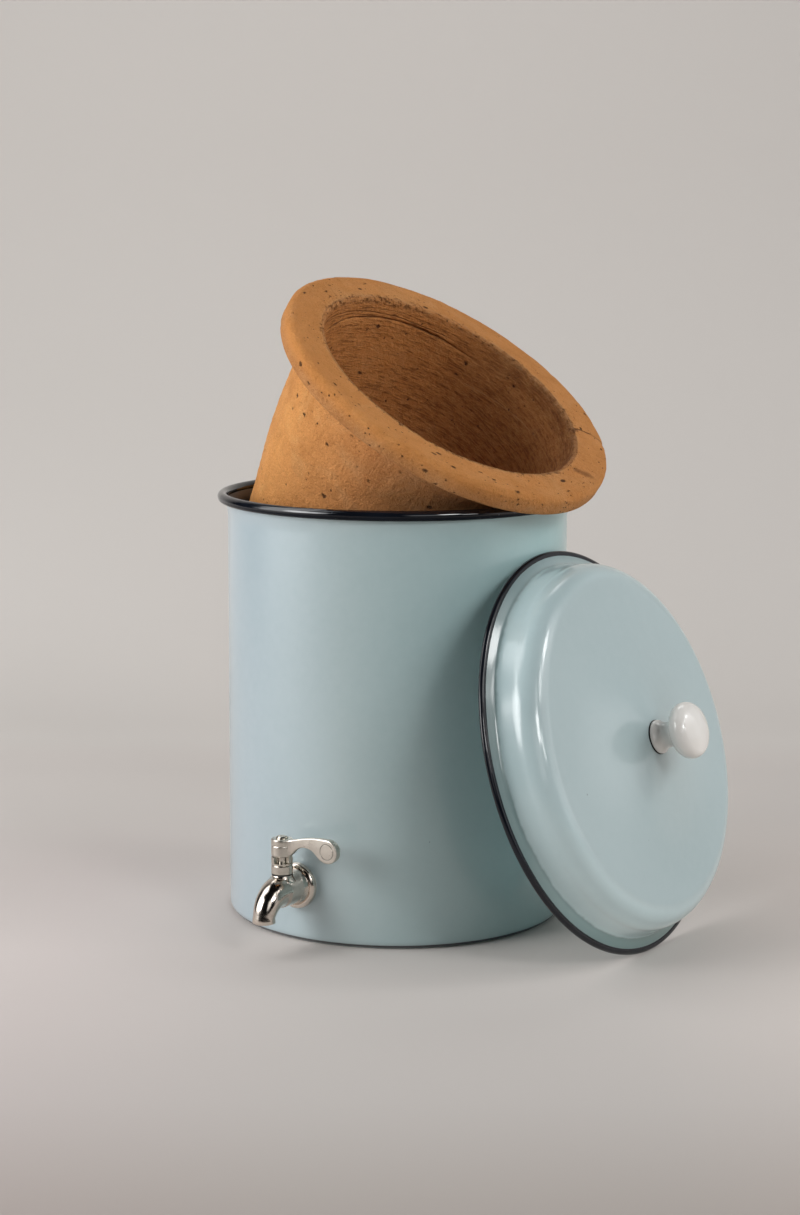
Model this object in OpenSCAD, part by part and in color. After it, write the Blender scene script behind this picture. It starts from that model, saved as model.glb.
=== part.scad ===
// Gravity water filter: enamelled steel tank with a lever tap, a flanged clay
// filter pot tilted in the tank's mouth, and the lid leaned against the tank.
// Millimetres, +Z up, origin at the centre of the tank's underside.
// The tap faces -Y, the lid leans on the +X side.

/* [Tank] */
// outside radius of the straight wall
tank_r = 117.5; // [117:0.1:118]
// enamelled sheet thickness
sheet_t = 1.3; // [1:0.1:1.4]
// height of the rim bead's centre line
rim_z = 291; // [286:1:296]
// radius of the rolled rim bead
bead_r = 3.5; // [3.2:0.1:3.5]
// outside radius of the bottom corner
foot_r = 9; // [7:0.5:12]

/* [Lid] */
// outside radius over the lid's edge bead
lid_r = 136.9; // [136.5:0.1:138]
// radius of the lid's edge bead
lid_bead_r = 2.9; // [2.6:0.1:3]
// lean of the lid's plane from vertical
lid_lean = 17.97; // [16:0.5:20]
// height of the lid's shoulder above its edge
crown_h = 33.5; // [32:0.5:35]

/* [Clay filter] */
// tilt of the pot's axis from vertical
pot_tilt = 35.5; // [35.5:0.1:36]
// turn of the tilt direction from +X towards -Y
pot_turn = 5; // [0:1:10]
// radius of the pot's flange
flange_r = 122.3; // [121:0.1:123]
// thickness of the flange
flange_t = 17.4; // [16:0.2:19]
// depth of the body below the flange
pot_depth = 152; // [140:1:152]
// slope of the pot's side
pot_taper = 9.8; // [9.8:0.1:11]

/* [Tap] */
// height of the tap's inlet axis
tap_z = 40; // [36:1:60]
// radius of the tap's wall flange
tap_flange_r = 15.75; // [15:0.25:17]
// length of the lever from hub centre to the paddle's centre
lever_l = 37.5; // [34:0.5:42]

/* [Hidden] */
$fn = 96;
ri = tank_r - sheet_t;
bead_c = 121.2;
flare_z = rim_z - 10;
enamel = [0.66, 0.73, 0.74];
navy = [0.03, 0.04, 0.08];
clay = [0.72, 0.44, 0.22];
steel = [0.78, 0.76, 0.72];
white = [0.93, 0.91, 0.88];
brass = [0.80, 0.62, 0.28];
silicone = [0.85, 0.85, 0.83];
// lid placing
lid_rc = lid_r - lid_bead_r;
lid_x = tank_r + 0.35 + lid_bead_r + lid_rc * sin(lid_lean);
lid_z = lid_bead_r + lid_rc * cos(lid_lean);
// pot placing: centre of the flange's underside
pot_x = 36;
pot_z = rim_z + 65.7;
pot_r = 104;
// tap placing
hub_y = -137;
bend_r = 17;
out_y = hub_y - 3.5 - bend_r;

module flare2d() {
  polygon([[ri, flare_z], [tank_r, flare_z], [bead_c - 1.9, rim_z - 1.5],
           [bead_c - 3.2, rim_z - 1.5]]);
}

module tank_shell() color(enamel) difference() {
  rotate_extrude($fn = 180) {
    difference() {
      union() {
        polygon([[0, 0], [tank_r - foot_r, 0], [tank_r - foot_r, foot_r],
                 [tank_r, foot_r], [tank_r, flare_z], [0, flare_z]]);
        translate([tank_r - foot_r, foot_r]) circle(r = foot_r);
      }
      union() {
        polygon([[-1, sheet_t], [tank_r - foot_r, sheet_t],
                 [tank_r - foot_r, foot_r], [ri, foot_r],
                 [ri, flare_z + 1], [-1, flare_z + 1]]);
        translate([tank_r - foot_r, foot_r]) circle(r = foot_r - sheet_t);
      }
    }
    flare2d();
  }
  translate([0, -100, tap_z]) rotate([90, 0, 0]) cylinder(r = 8, h = 30);
}

module tank_rim() color(navy) rotate_extrude($fn = 180) difference() {
  translate([bead_c, rim_z]) circle(r = bead_r, $fn = 48);
  flare2d();
}

// ---- tap, along -Y from the wall
module along_y(y, h, r) translate([0, y, tap_z]) rotate([90, 0, 0]) cylinder(r = r, h = h);

module tap_outer_washer() color(silicone) difference() {
  along_y(-108, 11.5, 13.5);
  cylinder(r = tank_r, h = 200, $fn = 1440);
  along_y(-100, 30, 7.75);
}

module tap_inner_washer() color(silicone) difference() {
  intersection() {
    along_y(-113, 6, 13);
    cylinder(r = ri, h = 200, $fn = 1440);
  }
  along_y(-100, 30, 7.75);
}

module tap_backing_washer() color(steel) difference() {
  along_y(-111.5, 1.5, 12.5);
  along_y(-100, 30, 7.75);
}

module tap_lock_nut() color(steel) difference() {
  translate([0, -105.5, tap_z]) rotate([90, 0, 0]) intersection() {
    cylinder(r = 22 / 2 / cos(30), h = 6, $fn = 6);
    translate([0, 0, -4]) cylinder(r1 = 6.5, r2 = 18.5, h = 12);
  }
  along_y(-100, 30, 7.75);
}

function bend_rad(a) = a > 80 ? 7.5 : 11.1 - 3.9 * pow(a / 80, 0.75);
module bend_disc(a)
  translate([0, hub_y - 3.5, tap_z - bend_r]) rotate([a - 90, 0, 0])
    translate([0, -bend_r, 0]) cylinder(r = bend_rad(a), h = 0.02, $fn = 32);

module tap_body() color(steel) difference() {
  union() {
    along_y(-98, 22, 7.75);
    translate([0, -119.5, tap_z]) rotate([90, 0, 0]) rotate_extrude() {
      polygon([[0, 0], [tap_flange_r, 0], [tap_flange_r, 2.2],
               [tap_flange_r - 3, 2.2], [tap_flange_r - 3, 5.2], [0, 5.2]]);
      intersection() {
        translate([tap_flange_r - 3, 2.2]) circle(r = 3, $fn = 48);
        square([40, 6]);
      }
      polygon([[0, 0], [12.6, 0], [12.6, 5.2], [11.3, 7], [11.3, 17.5], [0, 17.5]]);
    }
    translate([0, hub_y, tap_z]) sphere(r = 11.3);
    translate([0, hub_y, tap_z]) cylinder(r = 7.2, h = 11);
    for (i = [0:6]) hull() {
      bend_disc(i * 90 / 7);
      bend_disc((i + 1) * 90 / 7);
    }
  }
  // spot face under the bonnet
  translate([0, hub_y, tap_z + 11]) cylinder(r = 7.6, h = 4);
  // inlet, plug bore and outlet passage
  along_y(-97, 40, 4.5);
  translate([0, hub_y, tap_z - 9]) cylinder(r = 6.55, h = 30);
  along_y(hub_y + 8.2, 16.4, 5.8);
  along_y(hub_y, 3.6, 4.5);
  translate([0, hub_y - 3.5, tap_z - bend_r]) rotate([0, 90, 0]) rotate([0, 0, 180])
    rotate_extrude(angle = 91) translate([bend_r, 0]) circle(r = 4.5, $fn = 48);
}

module valve_seats() color(white) for (s = [0, 1]) difference() {
  translate([0, hub_y, tap_z]) rotate([90 + 180 * s, 0, 0]) cylinder(r = 5.8, h = 8.2);
  translate([0, hub_y, tap_z]) rotate([90 + 180 * s, 0, 0]) cylinder(r = 4.5, h = 9);
  translate([0, hub_y, tap_z - 9]) cylinder(r = 6.55, h = 30);
}

module bonnet_seal() color(silicone) translate([0, hub_y, tap_z + 11]) difference() {
  cylinder(r = 7, h = 0.8);
  translate([0, 0, -1]) cylinder(r = 6.5, h = 3);
}

module tap_bonnet() color(steel) translate([0, hub_y, tap_z]) difference() {
  union() {
    translate([0, 0, 9]) cylinder(r = 6.5, h = 4);
    translate([0, 0, 11.8]) rotate_extrude() {
      polygon([[0, 0], [6.8, 0], [7.2, 0.4], [7.2, 5.4], [6.7, 5.9], [7.2, 6.4],
               [7.2, 11.4], [6.8, 11.8], [0, 11.8]]);
    }
  }
  translate([0, 0, 8]) cylinder(r = 3.45, h = 18);
  // stop notch for the lever's lug
  translate([0, 0, 19.2]) rotate([0, 0, -103]) rotate_extrude(angle = 116)
    translate([3, 0]) square([6, 8]);
}

module valve_stem() color(steel) translate([0, hub_y, tap_z]) difference() {
  union() {
    translate([0, 0, -8.6]) cylinder(r = 6.5, h = 17.2);
    translate([0, 0, 8]) cylinder(r = 3.4, h = 15.9);
    translate([-2.5, -2.5, 23.7]) cube([5, 5, 11.3]);
  }
  translate([-10, 0, 0]) rotate([0, 90, 0]) cylinder(r = 4, h = 20);
  for (z = [11, 15]) translate([0, 0, z]) difference() {
    cylinder(r = 4, h = 1.4);
    translate([0, 0, -1]) cylinder(r = 2, h = 4);
  }
  translate([0, 0, 27]) cylinder(r = 1.25, h = 10);
}

module stem_orings() color([0.1, 0.1, 0.1]) translate([0, hub_y, tap_z])
  for (z = [11, 15]) translate([0, 0, z + 0.7]) rotate_extrude()
    translate([2.7, 0]) circle(r = 0.7, $fn = 32);

module lever() color(steel) translate([0, hub_y, tap_z]) difference() {
  union() {
    translate([0, 0, 23.9]) rotate_extrude()
      polygon([[0, 0], [6.8, 0], [7.2, 0.4], [7.2, 11.2], [6.7, 11.7], [0, 11.7]]);
    // stop lug under the hub
    translate([0, 0, 19.6]) rotate([0, 0, -12]) rotate_extrude(angle = 24)
      translate([4.2, 0]) square([2.8, 4.6]);
    // arm, a plate standing on edge
    translate([0, 2, 0]) rotate([90, 0, 0]) linear_extrude(height = 4) difference() {
      polygon([[0, 24.2], [29.8, 24.2], [31, 26.6], [33, 25.2], [lever_l, 23.8],
               [lever_l, 39.8], [28, 39.3], [18, 37.8], [10, 36.2], [4, 35.2], [0, 35.2]]);
      translate([20, 21.8]) circle(r = 10.2);
    }
    translate([lever_l, 2.5, 31.8]) rotate([90, 0, 0]) rotate_extrude() {
      polygon([[0, 0], [7, 0], [8, 1], [8, 4], [7, 5], [0, 5]]);
    }
  }
  translate([-2.53, -2.53, 20]) cube([5.06, 5.06, 20]);
}

module lever_screw() color(steel) translate([0, hub_y, tap_z + 35.6]) difference() {
  union() {
    rotate_extrude() polygon([[0, 0], [4, 0], [4, 0.7], [3.2, 1.5], [0, 1.5]]);
    translate([0, 0, -7]) cylinder(r = 1.25, h = 8);
  }
  translate([-5, -0.5, 0.8]) cube([10, 1, 2]);
}

// ---- clay filter pot, own frame: z = 0 at the flange's underside
module pot2d() {
  ta = tan(pot_taper);
  ca = cos(pot_taper);
  sa = sin(pot_taper);
  rc = 14;
  wc = -pot_depth + rc;
  cx = pot_r + wc * ta - rc / ca;
  rise = 2;
  r1 = 6;
  r2 = 7.5;
  rf = 2.5;
  fx = pot_r - rf * ta + rf / ca;
  x1 = flange_r - r1;
  // inside
  rin = 92.5;
  tb = 14;
  rb = 26;
  wi = -pot_depth + tb + rb;
  ix = rin + wi * ta - rb / ca;
  r3 = 4;
  rm = rin + (flange_t - r3) * ta;
  difference() {
    union() {
      difference() {
        polygon([[0, -pot_depth], [cx, -pot_depth], [cx, wc],
                 [cx + rc * ca, wc - rc * sa], [fx - rf * ca, -rf + rf * sa],
                 [fx, -rf + rf * sa], [fx, 1], [0, 1]]);
        translate([fx, -rf]) circle(r = rf, $fn = 48);
      }
      translate([cx, wc]) circle(r = rc);
      polygon([[0, 0], [fx, 0], [fx + 0.35 * (x1 - fx), 0.66 * rise], [x1, rise],
               [x1, rise + r1], [flange_r, rise + r1], [flange_r, flange_t - r2],
               [flange_r - r2, flange_t - r2], [flange_r - r2, flange_t], [0, flange_t]]);
      translate([x1, rise + r1]) circle(r = r1);
      translate([flange_r - r2, flange_t - r2]) circle(r = r2);
    }
    polygon([[-1, -pot_depth + tb], [ix, -pot_depth + tb], [ix, wi],
             [ix + rb * ca, wi - rb * sa], [rm, flange_t - r3], [rm, flange_t + 1],
             [-1, flange_t + 1]]);
    translate([ix, wi]) circle(r = rb);
    difference() {
      translate([rm - 1, flange_t - r3]) square([r3 + 1, r3 + 1]);
      translate([rm + r3, flange_t - r3]) circle(r = r3);
    }
  }
}

module filter_pot() color(clay)
  rotate([0, 0, -pot_turn]) translate([pot_x, 0, pot_z]) rotate([0, pot_tilt, 0])
    rotate_extrude($fn = 180) pot2d();

// ---- lid, own frame: z = 0 in the edge bead's plane, crown up
module place_lid() translate([lid_x, 0, lid_z]) rotate([0, 90 - lid_lean, 0]) children();

// section of the ledge's outer end, held in the rolled edge
module ledge2d()
  polygon([[lid_rc - 6, 0.2 + 3.4 * 6.5 / (lid_rc - 124.9)],
           [lid_rc - 6, 1.4 + 3.2 * 6.5 / (lid_rc - 126.3)],
           [lid_rc + 0.5, 1.4], [lid_rc + 0.5, 0.2]]);

module lid_shell() color(enamel) place_lid() difference() {
  rotate_extrude($fn = 180) difference() {
    difference() {
      union() {
        polygon([[0, -2], [lid_rc + 0.5, -2], [lid_rc + 0.5, 1.4], [126.8, 4.6],
                 [123.6, crown_h - 16], [107.6, crown_h], [107.6, crown_h + 12.5],
                 [0, crown_h + 12.5]]);
        translate([107.6, crown_h - 16]) circle(r = 16);
      }
      translate([107.6, crown_h + 371.8]) circle(r = 371.8, $fn = 360);
    }
    difference() {
      union() {
        polygon([[-1, -3], [lid_rc + 3, -3], [lid_rc + 3, 0.2], [lid_rc + 0.5, 0.2],
                 [125.4, 3.6], [122.4, crown_h - 16], [107.6, crown_h - 1.2],
                 [107.6, crown_h + 11.3], [-1, crown_h + 11.3]]);
        translate([107.6, crown_h - 16]) circle(r = 14.8);
      }
      translate([107.6, crown_h + 371.8]) circle(r = 373, $fn = 360);
    }
  }
  translate([0, 0, 30]) cylinder(r = 2.7, h = 30);
}

module lid_rim() color(navy) place_lid() rotate_extrude($fn = 180) difference() {
  translate([lid_rc, 0]) circle(r = lid_bead_r, $fn = 48);
  ledge2d();
}

module knob_gasket() color([0.15, 0.15, 0.15]) place_lid()
  translate([0, 0, crown_h + 12.5]) difference() {
    cylinder(r = 11.5, h = 0.8);
    translate([0, 0, -1]) cylinder(r = 2.7, h = 3);
  }

module lid_knob() color(white) place_lid() translate([0, 0, crown_h - 33.5]) difference() {
  rotate_extrude() {
    difference() {
      translate([0, 46.8]) square([11.3, 15.6]);
      translate([17.9, 55.2]) circle(r = 9.5);
    }
    translate([11.2, 69.6]) circle(r = 7.6);
    intersection() {
      translate([0, 48.6]) circle(r = 31.4);
      polygon([[0, 62], [11.2, 62], [14.78, 76.3], [14.78, 82], [0, 82]]);
    }
  }
  translate([0, 0, 46]) cylinder(r = 3.9, h = 14);
}

module knob_insert() color(brass) place_lid() translate([0, 0, crown_h + 13.3]) difference() {
  cylinder(r = 3.9, h = 13.2);
  translate([0, 0, -1]) cylinder(r = 2.5, h = 20);
}

module knob_washer() color(steel) place_lid() translate([0, 0, crown_h + 10.3]) difference() {
  cylinder(r = 7, h = 1);
  translate([0, 0, -1]) cylinder(r = 2.5, h = 3);
}

module knob_screw() color(steel) place_lid() translate([0, 0, crown_h + 10.3]) difference() {
  union() {
    translate([0, 0, -2.8]) rotate_extrude()
      polygon([[0, 0], [3.4, 0], [4.6, 1], [4.6, 2.8], [2.5, 2.8], [2.5, 14.5], [0, 14.5]]);
  }
  for (a = [0, 90]) rotate([0, 0, a]) translate([-2.6, -0.5, -3.5]) cube([5.2, 1, 2.4]);
}

tank_shell();
tank_rim();
tap_outer_washer();
tap_inner_washer();
tap_backing_washer();
tap_lock_nut();
tap_body();
valve_seats();
bonnet_seal();
tap_bonnet();
valve_stem();
stem_orings();
lever();
lever_screw();
filter_pot();
lid_shell();
lid_rim();
knob_gasket();
lid_knob();
knob_insert();
knob_washer();
knob_screw();
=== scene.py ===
import bpy
import math
import numpy as np
from mathutils import Matrix, Vector, noise


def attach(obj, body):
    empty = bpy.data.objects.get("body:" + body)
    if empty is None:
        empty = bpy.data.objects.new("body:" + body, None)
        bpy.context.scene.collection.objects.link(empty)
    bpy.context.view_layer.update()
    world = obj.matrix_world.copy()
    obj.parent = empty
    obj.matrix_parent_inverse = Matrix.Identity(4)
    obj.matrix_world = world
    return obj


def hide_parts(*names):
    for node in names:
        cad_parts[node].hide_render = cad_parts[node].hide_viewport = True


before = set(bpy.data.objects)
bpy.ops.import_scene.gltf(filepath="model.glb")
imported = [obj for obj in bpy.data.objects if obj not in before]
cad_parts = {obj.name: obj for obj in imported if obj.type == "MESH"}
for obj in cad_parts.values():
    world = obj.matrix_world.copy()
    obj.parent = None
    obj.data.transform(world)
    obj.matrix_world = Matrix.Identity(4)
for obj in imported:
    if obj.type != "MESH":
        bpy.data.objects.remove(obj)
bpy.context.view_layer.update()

MM = 0.001
rad = math.radians


# ------------------------------------------------------------------ meshes
def make_object(name, verts, faces, matrix=None, smooth=True, sharp=None):
    me = bpy.data.meshes.new(name)
    me.from_pydata([tuple(v) for v in verts], [], faces)
    if matrix is not None:
        me.transform(matrix)
    me.validate()
    me.update()
    if smooth:
        me.polygons.foreach_set("use_smooth", [True] * len(me.polygons))
        if sharp is not None:
            me.set_sharp_from_angle(angle=rad(sharp))
    ob = bpy.data.objects.new(name, me)
    bpy.context.scene.collection.objects.link(ob)
    return ob


def lathe(name, prof, segs, matrix=None, closed=False, warp=None, sharp=40):
    """Turns prof, a list of (r, z) in mm, about Z. warp(x, y, z) moves each point, all in mm."""
    verts, rings = [], []
    for r, z in prof:
        if r < 1e-6:
            rings.append([len(verts)])
            verts.append((0.0, 0.0, z))
        else:
            start = len(verts)
            for i in range(segs):
                a = 2 * math.pi * i / segs
                verts.append((r * math.cos(a), r * math.sin(a), z))
            rings.append(list(range(start, start + segs)))
    if warp:
        verts = [warp(*v) for v in verts]
    verts = [(x * MM, y * MM, z * MM) for x, y, z in verts]
    faces = []
    pairs = list(zip(rings[:-1], rings[1:]))
    if closed:
        pairs.append((rings[-1], rings[0]))
    for a, b in pairs:
        if len(a) == 1 and len(b) == 1:
            continue
        for i in range(segs):
            j = (i + 1) % segs
            if len(a) == 1:
                faces.append((a[0], b[j], b[i]))
            elif len(b) == 1:
                faces.append((a[i], a[j], b[0]))
            else:
                faces.append((a[i], a[j], b[j], b[i]))
    return make_object(name, verts, faces, matrix, sharp=sharp)


def arc(cx, cz, r, a0, a1, n):
    return [
        (cx + r * math.cos(rad(a0 + (a1 - a0) * i / n)), cz + r * math.sin(rad(a0 + (a1 - a0) * i / n)))
        for i in range(n + 1)
    ]


def dense(points, step):
    """Adds points so that no stretch of the profile is longer than step."""
    out = [points[0]]
    for (r0, z0), (r1, z1) in zip(points[:-1], points[1:]):
        n = max(1, int(math.ceil(math.hypot(r1 - r0, z1 - z0) / step)))
        for i in range(1, n + 1):
            out.append((r0 + (r1 - r0) * i / n, z0 + (z1 - z0) * i / n))
    return out


def spline(points, x):
    """Catmull-Rom through (x, y) points with rising x."""
    for i in range(len(points) - 1):
        if x <= points[i + 1][0] or i == len(points) - 2:
            p1, p2 = points[i], points[i + 1]
            p0 = points[max(0, i - 1)]
            p3 = points[min(len(points) - 1, i + 2)]
            h = p2[0] - p1[0]
            t = max(0.0, min(1.0, (x - p1[0]) / h))
            m1 = (p2[1] - p0[1]) / max(1e-6, p2[0] - p0[0]) * h
            m2 = (p3[1] - p1[1]) / max(1e-6, p3[0] - p1[0]) * h
            t2, t3 = t * t, t * t * t
            return (
                (2 * t3 - 3 * t2 + 1) * p1[1]
                + (t3 - 2 * t2 + t) * m1
                + (-2 * t3 + 3 * t2) * p2[1]
                + (t3 - t2) * m2
            )


def tube(name, stations, segs, matrix=None, sharp=40):
    """A tube through stations (centre, normal, side, half width, half height), closed along its inside.
    All in mm; faces join one ring to the next."""
    verts, faces = [], []
    for centre, up, side, rw, rh in stations:
        for i in range(segs):
            a = 2 * math.pi * i / segs
            p = Vector(centre) + Vector(side) * (rw * math.cos(a)) + Vector(up) * (rh * math.sin(a))
            verts.append((p.x * MM, p.y * MM, p.z * MM))
    for s in range(len(stations) - 1):
        for i in range(segs):
            j = (i + 1) % segs
            faces.append((s * segs + i, s * segs + j, (s + 1) * segs + j, (s + 1) * segs + i))
    return make_object(name, verts, faces, matrix, sharp=sharp)


def cap_ends(ob, segs, rings):
    """Closes the first and the last ring of a tube with a fan."""
    me = ob.data
    import bmesh

    bm = bmesh.new()
    bm.from_mesh(me)
    bm.verts.ensure_lookup_table()
    loops = [[bm.verts[start + i] for i in range(segs)] for start in (0, (rings - 1) * segs)]
    for loop in loops:
        c = sum((v.co for v in loop), Vector()) / segs
        mid = bm.verts.new(c)
        for i in range(segs):
            try:
                bm.faces.new((loop[i], loop[(i + 1) % segs], mid))
            except ValueError:
                pass
    bmesh.ops.recalc_face_normals(bm, faces=bm.faces)
    for f in bm.faces:
        f.smooth = True
    bm.to_mesh(me)
    bm.free()
    me.set_sharp_from_angle(angle=rad(40))


def outward(ob):
    import bmesh

    bm = bmesh.new()
    bm.from_mesh(ob.data)
    bmesh.ops.recalc_face_normals(bm, faces=bm.faces)
    bm.to_mesh(ob.data)
    bm.free()
    return ob


def join(name, objs):
    """Joins meshes that share one matrix into the first one."""
    import bmesh

    bm = bmesh.new()
    for o in objs:
        bm.from_mesh(o.data)
    me = bpy.data.meshes.new(name)
    bm.to_mesh(me)
    bm.free()
    ob = bpy.data.objects.new(name, me)
    bpy.context.scene.collection.objects.link(ob)
    ob.matrix_world = objs[0].matrix_world.copy()
    for o in objs:
        bpy.data.objects.remove(o)
    return ob


# --------------------------------------------------------------- materials
class Mat:
    def __init__(self, name, frame_of=None):
        self.m = bpy.data.materials.new(name)
        self.m.use_nodes = True
        self.nt = self.m.node_tree
        self.nt.nodes.clear()
        self.out = self.n("ShaderNodeOutputMaterial")
        self.b = self.n("ShaderNodeBsdfPrincipled")
        self.link(self.b.outputs["BSDF"], self.out.inputs["Surface"])
        self.tc = self.n("ShaderNodeTexCoord").outputs["Object"]
        if frame_of is not None:
            m = self.n("ShaderNodeMapping", vector_type="TEXTURE")
            m.inputs["Location"].default_value = frame_of.to_translation()
            m.inputs["Rotation"].default_value = frame_of.to_euler()
            self.link(self.tc, m.inputs["Vector"])
            self.tc = m.outputs["Vector"]

    def n(self, kind, **props):
        node = self.nt.nodes.new(kind)
        for k, v in props.items():
            setattr(node, k, v)
        return node

    def link(self, a, b):
        self.nt.links.new(a, b)

    def put(self, socket, value):
        if hasattr(value, "node"):
            self.link(value, socket)
        else:
            socket.default_value = value

    def noise(self, scale, detail=3.0, rough=0.5, vec=None, dist=0.0):
        t = self.n("ShaderNodeTexNoise")
        t.inputs["Scale"].default_value = scale
        t.inputs["Detail"].default_value = detail
        t.inputs["Roughness"].default_value = rough
        t.inputs["Distortion"].default_value = dist
        self.link(vec or self.tc, t.inputs["Vector"])
        return t.outputs["Fac"]

    def voronoi(self, scale, vec=None, feature="F1", randomness=1.0):
        t = self.n("ShaderNodeTexVoronoi")
        t.feature = feature
        t.inputs["Scale"].default_value = scale
        t.inputs["Randomness"].default_value = randomness
        self.link(vec or self.tc, t.inputs["Vector"])
        return t

    def ramp(self, fac, stops, kind="LINEAR"):
        r = self.n("ShaderNodeValToRGB")
        r.color_ramp.interpolation = kind
        e = r.color_ramp.elements
        while len(e) > 1:
            e.remove(e[-1])
        e[0].position, e[0].color = stops[0][0], self.rgba(stops[0][1])
        for p, c in stops[1:]:
            x = e.new(p)
            x.color = self.rgba(c)
        self.link(fac, r.inputs["Fac"])
        return r.outputs["Color"]

    @staticmethod
    def rgba(c):
        if isinstance(c, (int, float)):
            return (c, c, c, 1.0)
        return tuple(c) + (1.0,) if len(c) == 3 else tuple(c)

    def mix(self, fac, a, b, blend="MIX"):
        m = self.n("ShaderNodeMix", data_type="RGBA", blend_type=blend)
        m.clamp_factor = True
        self.put(m.inputs[0], fac)
        for sock, v in ((m.inputs[6], a), (m.inputs[7], b)):
            if hasattr(v, "node"):
                self.link(v, sock)
            else:
                sock.default_value = self.rgba(v)
        return m.outputs[2]

    def math(self, op, a, b=0.0, c=0.0, clamp=False):
        m = self.n("ShaderNodeMath", operation=op)
        m.use_clamp = clamp
        self.put(m.inputs[0], a)
        self.put(m.inputs[1], b)
        self.put(m.inputs[2], c)
        return m.outputs[0]

    def map(self, v, a0, a1, b0, b1, smooth=False):
        m = self.n("ShaderNodeMapRange")
        if smooth:
            m.interpolation_type = "SMOOTHSTEP"
        self.link(v, m.inputs["Value"])
        for k, x in zip(("From Min", "From Max", "To Min", "To Max"), (a0, a1, b0, b1)):
            m.inputs[k].default_value = x
        return m.outputs["Result"]

    def scaled(self, sx, sy, sz, vec=None):
        m = self.n("ShaderNodeMapping")
        m.inputs["Scale"].default_value = (sx, sy, sz)
        self.link(vec or self.tc, m.inputs["Vector"])
        return m.outputs["Vector"]

    def xyz(self, vec=None):
        s = self.n("ShaderNodeSeparateXYZ")
        self.link(vec or self.tc, s.inputs[0])
        return s.outputs[0], s.outputs[1], s.outputs[2]

    def bump(self, height, distance, strength=1.0, normal=None):
        b = self.n("ShaderNodeBump")
        b.inputs["Strength"].default_value = strength
        b.inputs["Distance"].default_value = distance
        self.link(height, b.inputs["Height"])
        if normal is not None:
            self.link(normal, b.inputs["Normal"])
        return b.outputs["Normal"]

    def set(self, **kw):
        for k, v in kw.items():
            s = self.b.inputs[k.replace("_", " ")]
            if hasattr(v, "node"):
                self.link(v, s)
            elif isinstance(v, (tuple, list)):
                s.default_value = self.rgba(v)
            else:
                s.default_value = v
        return self


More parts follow.
